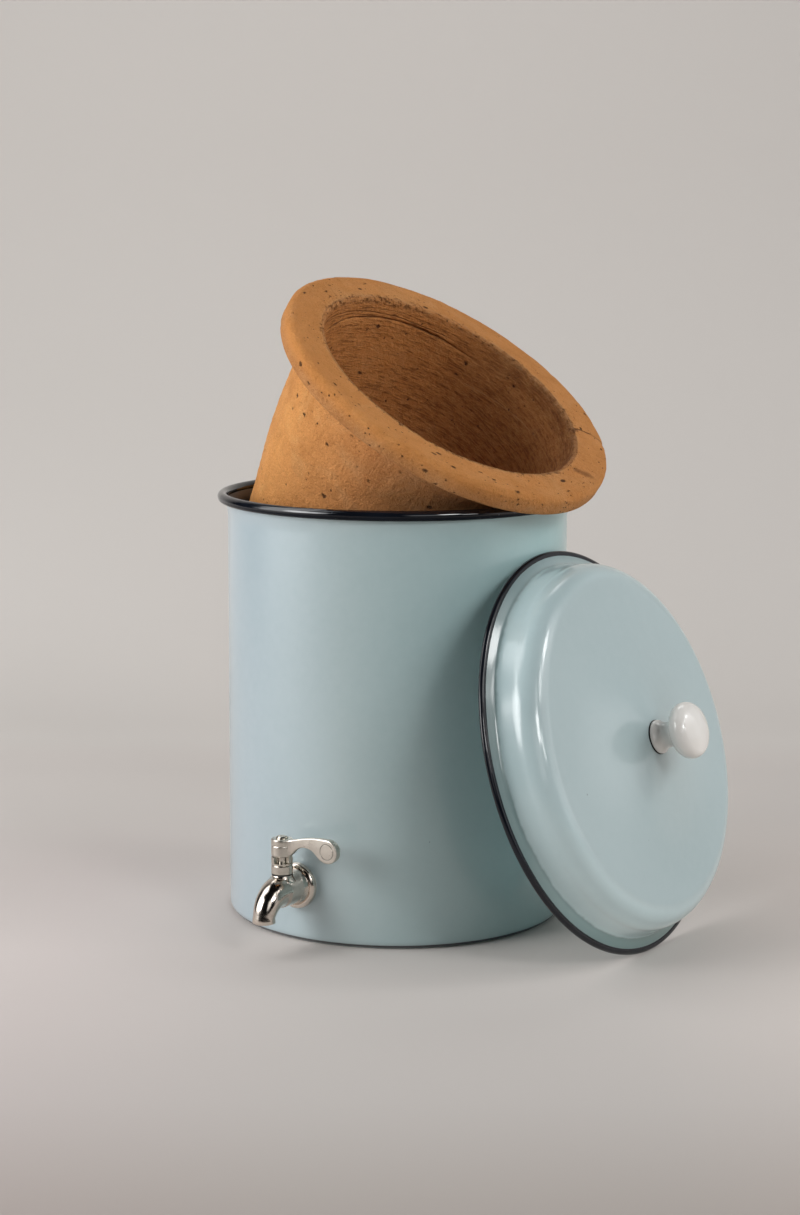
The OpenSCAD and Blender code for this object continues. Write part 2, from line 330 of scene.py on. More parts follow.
def enamel_pale(name="enamel_pale", bore=None, gloss=0.08, lid_frame=None):
    """Pale fired enamel. Inside the radius bore, in metres, the wall is painted dark as shade."""
    k = Mat(name, lid_frame)
    big = k.noise(7, 2)
    col = k.mix(k.map(big, 0.35, 0.65, 0, 1), (0.353, 0.462, 0.478), (0.382, 0.492, 0.508))
    # fine milky mottling of the fired coat, and rare pinholes
    col = k.mix(k.map(k.noise(160, 4), 0.3, 0.7, 0.0, 0.3), col, (0.408, 0.514, 0.528))
    v = k.voronoi(48)
    keep = k.math("GREATER_THAN", k.xyz(v.outputs["Color"])[0], 0.95)
    spot = k.math("MULTIPLY", k.math("LESS_THAN", v.outputs["Distance"], 0.03), keep)
    col = k.mix(k.math("MULTIPLY", spot, 0.6), col, (0.10, 0.12, 0.13))
    if lid_frame is not None:
        x, y, z = k.xyz()
        r = k.math("SQRT", k.math("ADD", k.math("POWER", x, 2.0), k.math("POWER", y, 2.0)))
        r = k.math("ADD", r, k.map(k.noise(90, 3), 0.2, 0.8, -0.0004, 0.0004))
        # painted shade: the brim is darkened towards the rolled edge
        brim = k.ramp(k.map(r, 0.1235, 0.1345, 0.0, 1.0), [(0.0, 1.0), (0.25, (0.88, 0.92, 0.92)), (0.55, (0.80, 0.86, 0.86)), (0.85, (0.66, 0.74, 0.74)), (1.0, (0.50, 0.58, 0.58))])
        col = k.mix(1.0, col, brim, "MULTIPLY")
        col = k.mix(0.10, col, (0.62, 0.70, 0.71))
        # painted light and shade round the shoulder, the flank and the brim: each is made lighter or darker by its
        # angle round the lid, as the light falls on it
        ang = k.map(k.math("ARCTAN2", y, x), -math.pi, math.pi, 0.0, 1.0)
        turn = lambda *v: k.ramp(ang, [((a + 180) / 360.0, t) for a, t in v])
        shoulder_painted_light = turn((-180, 1.25), (-110, 0.98), (-75, 1.28), (180, 1.25))
        flank_painted_light = turn((-180, 1.5), (-110, 1.05), (-15, 1.7), (90, 1.2), (180, 1.5))
        edge = turn((-180, 1.0), (-120, (0.46, 0.50, 0.49)), (-45, (0.70, 0.79, 0.77)), (0, (0.52, 0.62, 0.58)), (180, 1.0))
        painted_light_and_shade = k.mix(k.map(r, 0.1085, 0.1150, 0.0, 1.0, True), (1.05, 1.045, 1.045), shoulder_painted_light)
        painted_light_and_shade = k.mix(k.map(r, 0.1195, 0.1232, 0.0, 1.0, True), painted_light_and_shade, flank_painted_light)
        painted_light_and_shade = k.mix(k.map(r, 0.1262, 0.1272, 0.0, 1.0, True), painted_light_and_shade, edge)
        col = k.mix(1.0, col, painted_light_and_shade, "MULTIPLY")
    if bore:
        x, y, z = k.xyz()
        r = k.math("SQRT", k.math("ADD", k.math("POWER", x, 2.0), k.math("POWER", y, 2.0)))
        # painted sheen and shade round the wall: paler and bluer on the side facing the key lights at the left, a
        # deeper teal on the far side
        round_ = k.map(k.math("MULTIPLY_ADD", x, 0.834, k.math("MULTIPLY", y, 0.552)), -0.12, 0.12, 0.0, 1.0)
        painted_side_sheen = k.ramp(round_, [(0.02, (1.05, 0.99, 1.05)), (0.35, (1.05, 1.0, 0.985)), (0.62, (0.96, 1.0, 0.985)), (0.98, (0.84, 1.0, 0.97))])
        col = k.mix(1.0, col, painted_side_sheen, "MULTIPLY")
        # painted light: the wall is paler towards the mouth, except on the side facing the left lights
        up = k.ramp(k.map(z, 0.0, 0.30, 0.0, 1.0), [(0.0, 0.97), (0.42, 1.0), (0.67, 1.10), (0.88, 1.14), (1.0, 1.14)])
        col = k.mix(1.0, col, k.mix(k.map(round_, 0.18, 0.50, 0.0, 1.0, True), (1.03, 1.03, 1.04), up), "MULTIPLY")
        # painted shade: inside the bore the wall is darkened almost to black; the line follows the flare near the mouth
        grow = k.map(z, 0.276, 0.303, 0.0, 0.0036, True)
        inside_painted_shade = k.math("MULTIPLY", k.map(k.math("SUBTRACT", r, grow), bore - 0.0001, bore + 0.0001, 1.0, 0.0), k.map(z, 0.0008, 0.0010, 0.0, 1.0))
        col = k.mix(inside_painted_shade, col, (0.030, 0.034, 0.040))
    rough = k.map(k.noise(24, 3), 0.3, 0.7, 0.34, 0.42)
    nrm = k.bump(k.noise(16, 2), 0.0008, 0.4)
    nrm = k.bump(k.noise(300, 3), 0.00005, 0.5, nrm)
    k.set(Base_Color=col, Roughness=rough, Normal=nrm, Specular_IOR_Level=0.45, Coat_Weight=1.0, Coat_Roughness=gloss)
    k.link(nrm, k.b.inputs["Coat Normal"])
    return k.m


def enamel_dark(name="enamel_dark", under=None):
    """Dark fired enamel. Below the height under, in metres, the coat is duller."""
    k = Mat(name)
    col = k.mix(k.map(k.noise(40, 3), 0.35, 0.65, 0, 1), (0.004, 0.005, 0.008), (0.007, 0.009, 0.014))
    # worn flecks where the coat is thin
    v = k.voronoi(330)
    keep = k.math("GREATER_THAN", k.xyz(v.outputs["Color"])[1], 0.965)
    spot = k.math("MULTIPLY", k.math("LESS_THAN", v.outputs["Distance"], 0.16), keep)
    col = k.mix(k.math("MULTIPLY", spot, 0.5), col, (0.20, 0.22, 0.26))
    rough = k.map(k.noise(60, 3), 0.3, 0.7, 0.03, 0.07)
    nrm = k.bump(k.noise(70, 2), 0.0005, 0.4)
    nrm = k.bump(k.noise(420, 2), 0.00004, 0.5, nrm)
    shine = 0.38
    if under:
        shine = k.map(k.xyz()[2], under - 0.0008, under + 0.0008, 0.10, 0.72, True)
    k.set(Base_Color=col, Roughness=rough, Normal=nrm, Specular_IOR_Level=shine)
    return k.m


def steel(name, base=(0.66, 0.615, 0.55), r0=0.16, r1=0.28, cast=0.5, ring=None):
    k = Mat(name)
    col = k.mix(k.map(k.noise(120, 3), 0.3, 0.7, 0, 1), base, tuple(c * 0.88 for c in base))
    # thin darker tarnish in patches and fine polishing lines
    tar = k.map(k.noise(260, 5, 0.65), 0.52, 0.75, 0, 0.35)
    col = k.mix(tar, col, tuple(c * 0.55 for c in base))
    lines = k.noise(90, 4, 0.6, vec=k.scaled(1, 1, 26))
    rough = k.math("ADD", k.map(k.noise(90, 4), 0.3, 0.7, r0, r1), k.map(lines, 0.3, 0.7, -0.03, 0.05))
    nrm = k.bump(k.noise(75, 2), 0.0006, cast)
    nrm = k.bump(k.noise(420, 4), 0.00010, cast, nrm)
    nrm = k.bump(lines, 0.00003, 0.6, nrm)
    if ring:
        x, y, z = k.xyz()
        d = k.math("SQRT", k.math("ADD", k.math("POWER", k.math("SUBTRACT", x, ring[0]), 2.0), k.math("POWER", k.math("SUBTRACT", z, ring[1]), 2.0)))
        off = k.math("ABSOLUTE", k.math("SUBTRACT", d, ring[2]))
        # the ring's groove is bumped in and darkened, as painted shade
        groove = k.map(off, 0.0, 0.00032, 1.0, 0.0, True)
        col = k.mix(k.math("MULTIPLY", groove, 0.75), col, (0.05, 0.045, 0.04))
        nrm = k.bump(k.math("MULTIPLY", groove, -1.0), 0.0003, 1.0, nrm)
    k.set(Base_Color=col, Metallic=1.0, Roughness=rough, Normal=nrm)
    return k.m


def clay(pot_frame, r_in, slope, top):
    """Sandy fired clay. r_in, slope and top give the inner wall and the rim's height, in metres."""
    k = Mat("terracotta", pot_frame)
    x, y, z = k.xyz()
    r = k.math("SQRT", k.math("ADD", k.math("POWER", x, 2.0), k.math("POWER", y, 2.0)))
    into = k.math("SUBTRACT", k.math("MULTIPLY_ADD", z, slope, r_in + 0.0032), r)
    inside = k.map(into, 0.0, 0.002, 0.0, 1.0, True)

    ragged = k.map(k.noise(480, 3, 0.7), 0.2, 0.8, -0.0013, 0.0013)

    def ringed(kind, stretch, scale, **kw):
        """A 4-D texture drawn out round the axis, with no seam."""
        t = k.n(kind)
        setattr(t, "noise_dimensions" if kind == "ShaderNodeTexNoise" else "voronoi_dimensions", "4D")
        m = k.n("ShaderNodeCombineXYZ")
        k.link(k.math("MULTIPLY", x, 1.0 / stretch), m.inputs[0])
        k.link(k.math("MULTIPLY", y, 1.0 / stretch), m.inputs[1])
        k.link(z if kind == "ShaderNodeTexNoise" else k.math("ADD", z, ragged), m.inputs[2])
        k.link(m.outputs[0], t.inputs["Vector"])
        k.link(r, t.inputs["W"])
        t.inputs["Scale"].default_value = scale
        for key, v in kw.items():
            t.inputs[key].default_value = v
        return t

    def ring_line(height, half, lo, hi, depth=1.0):
        """A thin line round the inner wall at a slanted height; it fades out as x goes from lo to hi."""
        hx, hy, hz = height
        at_z = k.math("MULTIPLY_ADD", x, hx, k.math("MULTIPLY_ADD", y, hy, hz))
        off = k.math("ABSOLUTE", k.math("SUBTRACT", k.math("ADD", z, drift), at_z))
        m = k.math("MULTIPLY", k.map(off, 0.0, half, depth, 0.0, True), k.map(x, lo, hi, 1.0, 0.0, True))
        return k.math("MULTIPLY", k.math("MULTIPLY", m, inside), uneven)

    drift = k.map(k.noise(55, 3), 0.2, 0.8, -0.0009, 0.0009)
    uneven = k.map(k.noise(130, 3), 0.3, 0.6, 0.35, 1.0)
    cloud = k.noise(9, 4, 0.55, dist=0.6)
    base = k.ramp(cloud, [(0.25, (0.482, 0.203, 0.066)), (0.5, (0.547, 0.240, 0.081)), (0.75, (0.610, 0.283, 0.102))])
    mott = k.noise(60, 5, 0.62)
    base = k.mix(k.map(mott, 0.40, 0.68, 0.0, 0.5), base, (0.350, 0.138, 0.043))
    dust = k.noise(30, 5, 0.62, dist=1.2)
    base = k.mix(k.map(dust, 0.5, 0.72, 0.0, 0.5), base, (0.590, 0.325, 0.145))
    grain = k.noise(1100, 3, 0.75)
    base = k.mix(k.map(grain, 0.54, 0.72, 0.0, 0.6), base, (0.660, 0.365, 0.160))
    base = k.mix(k.map(grain, 0.45, 0.28, 0.0, 0.65), base, (0.190, 0.070, 0.022))
    flat = k.math("MULTIPLY", k.map(z, 0.006, 0.014, 0.0, 1.0, True), k.math("SUBTRACT", 1.0, inside))
    base = k.mix(k.math("MULTIPLY", flat, k.map(y, -0.11, 0.0, 0.42, 0.30)), base, (0.735, 0.291, 0.064))
    # painted light and shade: the inside is darker, and lighter towards -x where light falls on it; it also shows the
    # short strokes of the tool that smoothed it
    inner = k.mix(k.map(x, -0.088, -0.010, 0.0, 1.0, True), (0.720, 0.256, 0.059), (0.349, 0.126, 0.035))
    base = k.mix(k.math("MULTIPLY", inside, k.map(x, -0.08, 0.08, 0.50, 0.58)), base, inner)
    # painted light and shade: the outer wall is lighter towards -x and darker towards +x
    wall = k.math("MULTIPLY", k.map(z, 0.001, -0.004, 0.0, 1.0, True), k.math("SUBTRACT", 1.0, inside))
    base = k.mix(wall, base, k.mix(1.0, base, k.ramp(k.map(x, -0.10, 0.09, 0.0, 1.0), [(0.08, (1.14, 1.13, 1.04)), (0.30, (1.32, 1.36, 1.22)), (0.70, (1.12, 1.06, 1.02)), (0.85, (0.86, 0.86, 0.90)), (1.0, (0.74, 0.76, 0.86))]), "MULTIPLY"))
    # painted shadow of the collar on the inside, below the mouth at +y
    collar_shadow = k.math("MULTIPLY", k.map(z, 0.0, 0.009, 0.0, 1.0, True), k.map(y, 0.015, 0.06, 0.0, 1.0, True))
    collar_shadow = k.math("MULTIPLY", k.math("MULTIPLY", collar_shadow, inside), k.map(x, -0.06, 0.0, 0.0, 0.5, True))
    base = k.mix(collar_shadow, base, (0.160, 0.058, 0.017))
    lines = ringed("ShaderNodeTexNoise", 6.0, 980, Detail=3, Roughness=0.6).outputs["Fac"]
    lines2 = ringed("ShaderNodeTexNoise", 7.5, 430, Detail=2, Roughness=0.5).outputs["Fac"]
    stroke = k.math("ADD", k.math("MULTIPLY", lines, 0.65), k.math("MULTIPLY", lines2, 0.35))
    base = k.mix(k.math("MULTIPLY", k.map(stroke, 0.50, 0.62, 0.0, 1.0), k.map(inside, 0, 1, 0.08, 0.66)), base, (0.150, 0.053, 0.015))
    base = k.mix(k.math("MULTIPLY", k.map(stroke, 0.49, 0.38, 0.0, 1.0), k.map(inside, 0, 1, 0.05, 0.45)), base, (0.560, 0.270, 0.095))
    # rings left where the collar joins the wall, and one long scratch opposite
    ridge = ring_line((-0.1461, 0.0682, -0.0116), 0.0011, -0.082, -0.028)
    ridge = k.math("MAXIMUM", ridge, ring_line((0.0, -0.025, 0.00725), 0.0006, -0.090, -0.035, 0.7))
    ridge = k.math("MAXIMUM", ridge, ring_line((0.0, -0.030, 0.00480), 0.0005, -0.090, -0.060, 0.45))
    ridge = k.math("MAXIMUM", ridge, ring_line((0.0, -0.018, 0.01040), 0.0005, -0.080, -0.020, 0.40))
    base = k.mix(k.math("MULTIPLY", ridge, 0.85), base, (0.085, 0.032, 0.012))
    span = k.math("MULTIPLY", k.map(x, -0.042, -0.030, 0.0, 1.0, True), k.map(y, 0.0, 0.01, 0.0, 1.0))
    scratch = k.math("MULTIPLY", ring_line((0.095, 0.0, -0.0136), 0.0006, 0.022, 0.036), span)
    base = k.mix(k.math("MULTIPLY", scratch, 0.7), base, (0.56, 0.30, 0.13))
    # worn, broken edge of the mouth
    zt = k.math("SUBTRACT", z, top - 0.0022)
    rt = k.math("SUBTRACT", r, r_in + slope * top + 0.0012)
    edge = k.map(k.math("SQRT", k.math("ADD", k.math("POWER", zt, 2.0), k.math("POWER", rt, 2.0))), 0.0012, 0.0046, 1.0, 0.0, True)
    crumb = k.noise(320, 4, 0.7)
    broken = k.math("MULTIPLY", k.map(k.math("ADD", crumb, k.math("MULTIPLY", k.noise(22, 2), 0.5)), 0.83, 0.90, 0.0, 1.0, True), edge)
    base = k.mix(k.math("MULTIPLY", k.map(crumb, 0.3, 0.6, 0.5, 0.0), edge), base, (0.590, 0.325, 0.145))
    base = k.mix(k.math("MULTIPLY", broken, 0.78), base, (0.130, 0.050, 0.018))
    # a drying crack that bows across the flange
    on_flange = k.map(z, 0.003, 0.006, 0.0, 1.0)
    across = k.math("MULTIPLY_ADD", x, -0.809, k.math("MULTIPLY", y, 0.588))
    bow = k.math("MULTIPLY_ADD", k.math("POWER", k.math("SUBTRACT", r, 0.103), 2.0), -26.0, 0.0013)
    stray = k.map(k.noise(120, 5, 0.7), 0.2, 0.8, -0.0022, 0.0022)
    gap = k.math("ABSOLUTE", k.math("ADD", k.math("SUBTRACT", across, bow), stray))
    side = k.math("MULTIPLY", k.map(k.math("MULTIPLY_ADD", x, 0.588, k.math("MULTIPLY", y, 0.809)), 0.05, 0.06, 0.0, 1.0), on_flange)
    side = k.math("MULTIPLY", side, k.math("SUBTRACT", 1.0, inside))
    width = k.map(k.noise(170, 3), 0.35, 0.65, 0.0006, 0.0017)
    crack = k.math("MULTIPLY", k.math("SUBTRACT", 1.0, k.math("DIVIDE", gap, width), clamp=True), side)
    crack = k.math("MULTIPLY", crack, k.map(k.noise(95, 2), 0.34, 0.48, 0.35, 1.0))
    base = k.mix(k.math("MULTIPLY", crack, 0.95), base, (0.115, 0.040, 0.014))
    near = k.math("MULTIPLY", k.map(gap, 0.0, 0.007, 1.0, 0.0, True), side)
    # a smudge beside it
    smx = k.math("POWER", k.math("SUBTRACT", k.math("MULTIPLY_ADD", y, -0.95, x), 0.0650), 2.0)
    smy = k.math("POWER", k.math("SUBTRACT", k.math("MULTIPLY_ADD", x, 0.55, y), 0.0960), 2.0)
    smd = k.math("ADD", k.math("SQRT", k.math("ADD", smx, k.math("MULTIPLY", smy, 0.25))), k.map(k.noise(140, 3), 0.2, 0.8, -0.003, 0.003))
    smudge = k.math("MULTIPLY", k.map(smd, 0.0015, 0.0065, 1.0, 0.0, True), on_flange)
    base = k.mix(k.math("MULTIPLY", smudge, 0.72), base, (0.200, 0.070, 0.022))
    # pits: dark pores of three sizes drawn out by throwing, gathered in patches
    patch = k.map(k.noise(20, 3, 0.6), 0.40, 0.66, 0.0, 1.0)
    outer = k.map(r, r_in + 0.011, r_in + 0.020, 0.0, 1.0, True)
    low = k.map(x, -0.06, 0.09, 0.0, 1.0, True)
    want = k.math("ADD", k.math("MULTIPLY", patch, 0.10), k.math("MULTIPLY", k.math("MULTIPLY", outer, low), 0.090))
    want = k.math("ADD", want, k.math("MULTIPLY", near, 0.17))
    want = k.math("SUBTRACT", want, k.math("MULTIPLY", inside, 0.03))
    brim = k.math("MULTIPLY", k.map(z, 0.001, 0.004, 0.0, 1.0, True), k.map(z, 0.016, 0.009, 0.0, 1.0, True))
    want = k.math("ADD", want, k.math("MULTIPLY", k.math("MULTIPLY", brim, low), 0.07))
    pits = None
    for stretch, scale, size, rare in ((1.7, 230, 0.36, 0.945), (1.4, 480, 0.38, 0.955), (1.9, 125, 0.24, 0.978)):
        v = ringed("ShaderNodeTexVoronoi", stretch, scale)
        keep = k.math("GREATER_THAN", k.math("ADD", k.xyz(v.outputs["Color"])[0], want), rare)
        p = k.math("MULTIPLY", k.map(v.outputs["Distance"], size * 0.5, size, 1.0, 0.0, True), keep)
        pits = p if pits is None else k.math("MAXIMUM", pits, p)
    base = k.mix(k.math("MULTIPLY", pits, 0.85), base, (0.042, 0.016, 0.007))
    nrm = k.bump(k.noise(45, 4, 0.55), 0.0024, 0.6)
    nrm = k.bump(k.math("MULTIPLY", stroke, k.map(inside, 0, 1, 0.15, 1.0)), 0.0028, 1.0, nrm)
    nrm = k.bump(k.noise(260, 4, 0.7), 0.0024, 0.9, nrm)
    nrm = k.bump(k.noise(750, 3, 0.7), 0.0010, 0.9, nrm)
    holes = k.math("MAXIMUM", k.math("MAXIMUM", broken, pits), k.math("MAXIMUM", crack, ridge))
    nrm = k.bump(k.math("MULTIPLY", holes, -1.0), 0.0014, 1.0, nrm)
    k.set(Base_Color=base, Roughness=k.map(mott, 0.3, 0.7, 0.84, 0.97), Normal=nrm, Specular_IOR_Level=0.2)
    return k.m


def porcelain():
    k = Mat("porcelain")
    col = k.mix(k.map(k.noise(60, 3), 0.35, 0.65, 0, 1), (0.80, 0.775, 0.735), (0.84, 0.82, 0.785))
    v = k.voronoi(420)
    keep = k.math("GREATER_THAN", k.xyz(v.outputs["Color"])[0], 0.975)
    spot = k.math("MULTIPLY", k.math("LESS_THAN", v.outputs["Distance"], 0.1), keep)
    col = k.mix(k.math("MULTIPLY", spot, 0.35), col, (0.45, 0.40, 0.34))
    nrm = k.bump(k.noise(90, 2), 0.0004, 0.4)
    k.set(Base_Color=col, Roughness=k.map(k.noise(40, 2), 0.3, 0.7, 0.10, 0.16), Normal=nrm, Specular_IOR_Level=0.5, Coat_Weight=0.6, Coat_Roughness=0.04)
    return k.m


def rubberish(name, c0, c1, rough):
    k = Mat(name)
    col = k.mix(k.map(k.noise(180, 4), 0.3, 0.7, 0, 1), c0, c1)
    nrm = k.bump(k.noise(800, 3), 0.0002, 0.6)
    k.set(Base_Color=col, Roughness=k.map(k.noise(300, 3), 0.3, 0.7, rough - 0.08, rough + 0.08), Normal=nrm)
    return k.m


def assign(ob, *mats):
    ob.data.materials.clear()
    for m in mats:
        ob.data.materials.append(m)
    return ob


M_ENAMEL = enamel_pale()
M_TANK = enamel_pale("enamel_tank", 0.1168, 0.20)
M_DARK = enamel_dark()
M_RIM = enamel_dark("enamel_dark_rim", 0.2905)
M_STEEL = steel("stainless_cast", base=(0.72, 0.645, 0.570), r0=0.09, r1=0.17, cast=0.35)
M_LEVER = steel("stainless_lever", base=(0.70, 0.655, 0.585), r0=0.27, r1=0.38, cast=0.3, ring=(0.0375, 0.0718, 0.0052))
M_TURNED = steel("stainless_turned", base=(0.66, 0.62, 0.55), r0=0.14, r1=0.24, cast=0.15)
TILT, TURN = 35.5, 5.0
POT_M = (
    Matrix.Rotation(rad(-TURN), 4, "Z")
    @ Matrix.Translation((36.0 * MM, 0, 356.7 * MM))
    @ Matrix.Rotation(rad(TILT), 4, "Y")
)
M_CLAY = clay(POT_M, 0.0925, math.tan(rad(9.8)), 0.0182)
M_PORCELAIN = porcelain()
M_BRASS = steel("brass_turned", base=(0.72, 0.50, 0.20), r0=0.22, r1=0.34, cast=0.2)
M_SILICONE = rubberish("silicone", (0.62, 0.62, 0.59), (0.70, 0.70, 0.67), 0.45)
M_PTFE = rubberish("ptfe", (0.78, 0.78, 0.76), (0.84, 0.84, 0.82), 0.4)
M_BLACK = rubberish("black_rubber", (0.018, 0.018, 0.018), (0.032, 0.032, 0.031), 0.6)

for node, m in {
    "tank_shell": M_TANK, "tank_rim": M_RIM, "tap_outer_washer": M_SILICONE, "tap_inner_washer": M_SILICONE,
    "tap_backing_washer": M_TURNED, "tap_lock_nut": M_TURNED, "tap_body": M_STEEL, "valve_seats": M_PTFE,
    "bonnet_seal": M_BLACK, "tap_bonnet": M_TURNED, "valve_stem": M_TURNED, "stem_orings": M_BLACK, "lever": M_LEVER,
    "lever_screw": M_TURNED, "filter_pot": M_CLAY, "lid_shell": M_ENAMEL, "lid_rim": M_DARK,
    "knob_gasket": M_BLACK, "lid_knob": M_PORCELAIN, "knob_insert": M_BRASS, "knob_washer": M_TURNED,
    "knob_screw": M_TURNED,
}.items():
    assign(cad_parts[node], m)


def piece(ob, body, slot, *nodes):
    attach(ob, body)
    if nodes:
        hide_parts(*nodes)
    return ob


# -------------------------------------------------------------------- tank
TANK_R, RIM_Z, BEAD_C, BEAD_R = 117.5, 291.0, 121.2, 3.5


def bead_warp(x, y, z):
    a = math.atan2(y, x)
    n = noise.noise(Vector((math.cos(a) * 3, math.sin(a) * 3, 0.3))) * 0.12
    n += noise.noise(Vector((math.cos(a) * 14, math.sin(a) * 14, 4.1))) * 0.05
    f = 1 + n * 0.004
    return x * f, y * f, z + n * 0.5


def flare(z):
    t = max(0.0, (z - 276.0) / 27.0)
    return 3.6 * t * t * (3 - 2 * t)


def tank_warp(x, y, z):
    r = math.hypot(x, y)
    if r < 100:
        return x, y, z
    n = noise.noise(Vector((x * 0.016, y * 0.016, z * 0.007))) * min(1.0, max(0.0, (280 - z) / 20)) * min(1.0, max(0.0, (z - 62) / 30))
    f = 1 + 0.16 * n / r
    return x * f, y * f, z


wall = [(0, 0), (40, 0), (80, 0), (100, 0), (106, 0)]
wall += [(TANK_R - 4.6 + 4.6 * math.cos(rad(a)), 6 + 6 * math.sin(rad(a))) for a in range(-90, 1, 6)]
wall += [(TANK_R + flare(z), z) for z in (8, *range(12, 272, 5), *range(272, 290, 1), 289.6)]
wall += [(TANK_R - 1.3 + flare(z), z) for z in (289.6, *range(289, 272, -1), *range(272, 12, -5))]
wall += [(TANK_R - 4.6 + 3.3 * math.cos(rad(a)), 6 + 4.7 * math.sin(rad(a))) for a in range(0, -91, -7)] + [(100, 1.3), (60, 1.3), (0, 1.3)]
shell = outward(lathe("tank_drawing", wall, 480, warp=tank_warp, sharp=None))
bit = lathe("bit", [(0, -9), (8, -9), (8, 9), (0, 9)], 64, Matrix.Translation((0, -117 * MM, 40 * MM)) @ Matrix.Rotation(rad(90), 4, "X"), sharp=None)
outward(bit)
cut = shell.modifiers.new("tap_hole", "BOOLEAN")
cut.object, cut.operation, cut.solver = bit, "DIFFERENCE", "EXACT"
drilled = bpy.data.meshes.new_from_object(shell.evaluated_get(bpy.context.evaluated_depsgraph_get()))
shell.modifiers.clear()
shell.data = drilled
bpy.data.objects.remove(bit)
drilled.set_sharp_from_angle(angle=rad(45))
piece(assign(shell, M_TANK), "tank", "enamel_pale", "tank_shell")

rim = outward(lathe("rolled_rim", arc(BEAD_C, RIM_Z, BEAD_R, 0, 345, 34)[:-1] + [], 480, closed=True, warp=bead_warp, sharp=None))
piece(assign(rim, M_RIM), "tank", "enamel_dark", "tank_rim")

# --------------------------------------------------------------------- lid
LID_R, LID_B, LEAN, CROWN = 136.9, 2.9, 17.97, 33.5
RC = LID_R - LID_B
LX = TANK_R + 0.35 + LID_B + RC * math.sin(rad(LEAN))
LZ = LID_B + RC * math.cos(rad(LEAN))
LID_M = Matrix.Translation((LX * MM, 0, LZ * MM)) @ Matrix.Rotation(rad(90 - LEAN), 4, "Y")


def lid_top(r):
    """Height of the crown's outer face inside the shoulder."""
    if r <= 12:
        return CROWN + 12.5
    return CROWN + 371.8 - math.sqrt(371.8**2 - (107.6 - r) ** 2)


def lid_warp(x, y, z):
    n = noise.noise(Vector((x * 0.012, y * 0.012, 0.7)))
    return x, y, z + n * 0.35 * min(1.0, max(0.0, (130 - math.hypot(x, y)) / 30))


outer = [(2.7, lid_top(0)), (11.0, lid_top(0)), (12.5, lid_top(12.5))]
outer += [(r, lid_top(r)) for r in np.linspace(16, 107.6, 36)]
outer += arc(107.6, CROWN - 16, 16, 88, 0, 20)
outer += [(124.6, 13.2), (125.7, 8.6), (126.5, 5.9), (127.2, 4.95), (128.2, 4.35), (130.0, 3.5), (132.2, 2.45), (RC + 0.4, 1.4)]
inner = [(RC + 0.4, 0.25), (132.0, 1.2), (128.2, 2.8), (126.4, 3.5), (125.4, 4.3), (124.6, 6.4), (123.5, 12.4), (122.4, CROWN - 16)]
inner += arc(107.6, CROWN - 16, 14.8, 4, 88, 16)
inner += [(r, lid_top(r) - 1.2) for r in np.linspace(106, 14, 30)] + [(11.5, lid_top(0) - 1.2), (2.7, lid_top(0) - 1.2)]
M_LID = enamel_pale("enamel_lid", lid_frame=LID_M)
lid = outward(lathe("lid_pressing", dense(outer, 4) + dense(inner, 5), 420, LID_M, closed=True, warp=lid_warp, sharp=50))
piece(assign(lid, M_LID), "lid", "enamel_pale", "lid_shell")


def lid_bead_warp(x, y, z):
    a = math.atan2(y, x)
    n = noise.noise(Vector((math.cos(a) * 4, math.sin(a) * 4, 9.3))) * 0.12
    f = 1 + n * 0.003
    return x * f, y * f, z + n


lrim = outward(lathe("lid_rolled_edge", [(r, z * 0.76) for r, z in arc(RC, 0, LID_B, 0, 348, 30)], 480, LID_M, closed=True, warp=lid_bead_warp, sharp=None))
piece(assign(lrim, M_DARK), "lid", "enamel_dark", "lid_rim")

knob = [(3.9, 60), (3.9, 47.2), (4.3, 46.85), (10.9, 46.8), (11.25, 47.0), (11.3, 47.5)]
knob += arc(17.9, 55.2, 9.5, 225, 141, 18)
knob += [(10.75, 61.85), (11.3, 62.0)]
knob += arc(11.2, 69.6, 7.6, -86, 60, 26)
knob += arc(0, 48.6, 31.4, 61.0, 90, 16)[:-1] + [(0.0, 80.0)]
knob = [(0.0, 60.0)] + knob
kn = outward(lathe("porcelain_knob", dense(knob, 1.6), 160, LID_M, sharp=50))
piece(assign(kn, M_PORCELAIN), "lid", "porcelain", "lid_knob")

# ---------------------------------------------------------------- clay pot
TA = math.tan(rad(9.8))
CA, SA = math.cos(rad(9.8)), math.sin(rad(9.8))
R1, DEPTH, RF, FT = 104.0, 152.0, 122.3, 17.4
wc = -DEPTH + 14
cx = R1 + wc * TA - 14 / CA
fx = R1 - 2.5 * TA + 2.5 / CA
wi = -DEPTH + 14 + 26
ix = 92.5 + wi * TA - 26 / CA
rm = 92.5 + (FT - 2.3) * TA
pot_out = [(0.0, -DEPTH), (20, -DEPTH), (40, -DEPTH)]
pot_out += arc(cx, wc, 14, -90, -9.8, 12)
side = [(cx + 14 * CA, wc - 14 * SA), (fx - 2.5 * CA, -2.5 + 2.5 * SA)]
pot_out += dense(side, 1.9)[1:]
pot_out += arc(fx, -2.5, 2.5, 170, 90, 4)[1:]
pot_out += [(110.0, 1.1), (113.5, 1.7)]
pot_out += [(116.4, 1.9)]
pot_out += arc(RF - 3.6, 5.6, 3.6, -86, 0, 8)
pot_out += arc(RF - 4.6, FT - 4.6, 4.6, 6, 90, 9)
pot_out += [(r, FT) for r in np.linspace(RF - 6.2, rm + 3.4, 11)]
pot_out += arc(rm + 2.3, FT - 2.3, 2.3, 92, 180, 6)
pot_in = [(rm - 0.05, FT - 2.9)] + dense([(rm - 0.15, FT - 3.4), (92.5 + 6.5 * TA, 6.5)], 1.6)[1:]
pot_in += dense([(92.5 + 6.5 * TA, 6.5), (92.5 - 5.0 * TA, -5.0)], 0.65)[1:]
